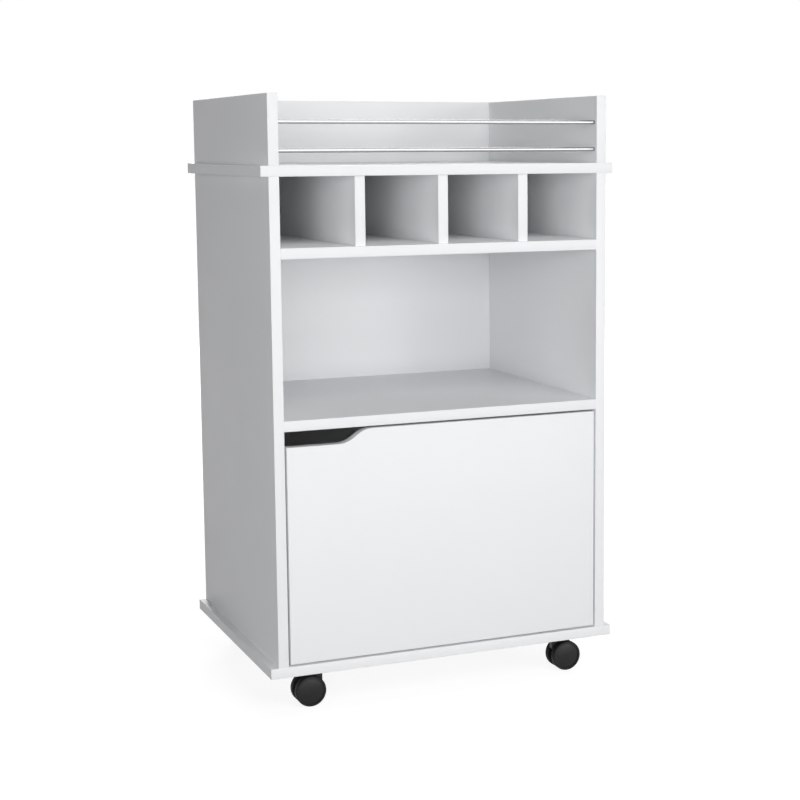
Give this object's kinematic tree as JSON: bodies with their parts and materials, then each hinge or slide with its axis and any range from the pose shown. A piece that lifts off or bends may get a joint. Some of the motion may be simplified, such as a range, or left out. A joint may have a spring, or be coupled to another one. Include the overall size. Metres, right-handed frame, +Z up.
{
  "type": "bar cart",
  "caption": "White board bar cart on casters, with a railed top, bottle cubbies, an open shelf and a notched cupboard door, for storing and serving drinks.",
  "frame": {"origin": "on the floor, at the bottom centre of the cart's bounding box", "axes": "+Z up, +X to the right seen from the front, and the door faces -Y"},
  "size_m": [0.536, 0.407, 0.868],
  "materials": {
    "white_board": "satin white melamine on particleboard, with matching edge bands",
    "rail_chrome": "polished chrome plate",
    "hinge_steel": "nickel-plated pressed steel",
    "caster_plastic": "black moulded nylon with a soft sheen",
    "caster_steel": "zinc-plated steel"
  },
  "bodies": {
    "carcass": {"base_panel": "white_board", "left_side_panel": "white_board", "right_side_panel": "white_board", "back_panel": "white_board", "middle_shelf": "white_board", "bottle_shelf": "white_board", "divider_left": "white_board", "divider_center": "white_board", "divider_right": "white_board", "top_panel": "white_board", "gallery_left": "white_board", "gallery_right": "white_board", "gallery_back": "white_board", "lower_rail": "rail_chrome", "upper_rail": "rail_chrome", "hinge_arms": "hinge_steel", "hinge_plates": "hinge_steel", "caster_plates": "caster_steel"},
    "door": {"door_panel": "white_board", "hinge_cups": "hinge_steel"},
    "inner_links": {"hinge_inner_links": "hinge_steel"},
    "outer_links": {"hinge_outer_links": "hinge_steel"},
    "front_left_swivel": {"caster_front_left_housing": "caster_plastic", "caster_front_left_axle": "caster_steel"},
    "front_left_front_wheel": {"caster_front_left_front_wheel": "caster_plastic"},
    "front_left_back_wheel": {"caster_front_left_back_wheel": "caster_plastic"},
    "front_right_swivel": {"caster_front_right_housing": "caster_plastic", "caster_front_right_axle": "caster_steel"},
    "front_right_front_wheel": {"caster_front_right_front_wheel": "caster_plastic"},
    "front_right_back_wheel": {"caster_front_right_back_wheel": "caster_plastic"},
    "back_left_swivel": {"caster_back_left_housing": "caster_plastic", "caster_back_left_axle": "caster_steel"},
    "back_left_front_wheel": {"caster_back_left_front_wheel": "caster_plastic"},
    "back_left_back_wheel": {"caster_back_left_back_wheel": "caster_plastic"},
    "back_right_swivel": {"caster_back_right_housing": "caster_plastic", "caster_back_right_axle": "caster_steel"},
    "back_right_front_wheel": {"caster_back_right_front_wheel": "caster_plastic"},
    "back_right_back_wheel": {"caster_back_right_back_wheel": "caster_plastic"}
  },
  "joints": [
    {"name": "inner_link_swing", "type": "hinge", "parent": "carcass", "child": "inner_links", "pos_m": [0.2148, -0.1945, 0.23625], "axis": [0, 0, 1], "range_deg": [0, 23.75]},
    {"name": "door_swing", "type": "hinge", "parent": "inner_links", "child": "door", "pos_m": [0.2243, -0.1961, 0.23625], "axis": [0, 0, 1], "range_deg": [0, 71.25]},
    {"name": "outer_link_swing", "type": "hinge", "parent": "carcass", "child": "outer_links", "pos_m": [0.2208, -0.1945, 0.23625], "axis": [0, 0, 1], "range_deg": [0, 114.14]},
    {"name": "front_left_swivel_turn", "type": "hinge", "parent": "carcass", "child": "front_left_swivel", "pos_m": [-0.1908, -0.1699, 0.0375], "axis": [0, 0, 1], "continuous": true},
    {"name": "front_left_front_wheel_spin", "type": "hinge", "parent": "front_left_swivel", "child": "front_left_front_wheel", "pos_m": [-0.2038, -0.1804, 0.0225], "axis": [0, 1, 0], "continuous": true},
    {"name": "front_left_back_wheel_spin", "type": "hinge", "parent": "front_left_swivel", "child": "front_left_back_wheel", "pos_m": [-0.2038, -0.1594, 0.0225], "axis": [0, 1, 0], "continuous": true},
    {"name": "front_right_swivel_turn", "type": "hinge", "parent": "carcass", "child": "front_right_swivel", "pos_m": [0.1908, -0.1699, 0.0375], "axis": [0, 0, 1], "continuous": true},
    {"name": "front_right_front_wheel_spin", "type": "hinge", "parent": "front_right_swivel", "child": "front_right_front_wheel", "pos_m": [0.2038, -0.1804, 0.0225], "axis": [0, 1, 0], "continuous": true},
    {"name": "front_right_back_wheel_spin", "type": "hinge", "parent": "front_right_swivel", "child": "front_right_back_wheel", "pos_m": [0.2038, -0.1594, 0.0225], "axis": [0, 1, 0], "continuous": true},
    {"name": "back_left_swivel_turn", "type": "hinge", "parent": "carcass", "child": "back_left_swivel", "pos_m": [-0.1908, 0.1699, 0.0375], "axis": [0, 0, 1], "continuous": true},
    {"name": "back_left_front_wheel_spin", "type": "hinge", "parent": "back_left_swivel", "child": "back_left_front_wheel", "pos_m": [-0.2038, 0.1594, 0.0225], "axis": [0, 1, 0], "continuous": true},
    {"name": "back_left_back_wheel_spin", "type": "hinge", "parent": "back_left_swivel", "child": "back_left_back_wheel", "pos_m": [-0.2038, 0.1804, 0.0225], "axis": [0, 1, 0], "continuous": true},
    {"name": "back_right_swivel_turn", "type": "hinge", "parent": "carcass", "child": "back_right_swivel", "pos_m": [0.1908, 0.1699, 0.0375], "axis": [0, 0, 1], "continuous": true},
    {"name": "back_right_front_wheel_spin", "type": "hinge", "parent": "back_right_swivel", "child": "back_right_front_wheel", "pos_m": [0.2038, 0.1594, 0.0225], "axis": [0, 1, 0], "continuous": true},
    {"name": "back_right_back_wheel_spin", "type": "hinge", "parent": "back_right_swivel", "child": "back_right_back_wheel", "pos_m": [0.2038, 0.1804, 0.0225], "axis": [0, 1, 0], "continuous": true}
  ],
  "couplings": [
    {"joint": "inner_link_swing", "follows": "door_swing", "ratio": 0.33333},
    {"joint": "outer_link_swing", "follows": "door_swing", "ratio": 1.6018}
  ]
}
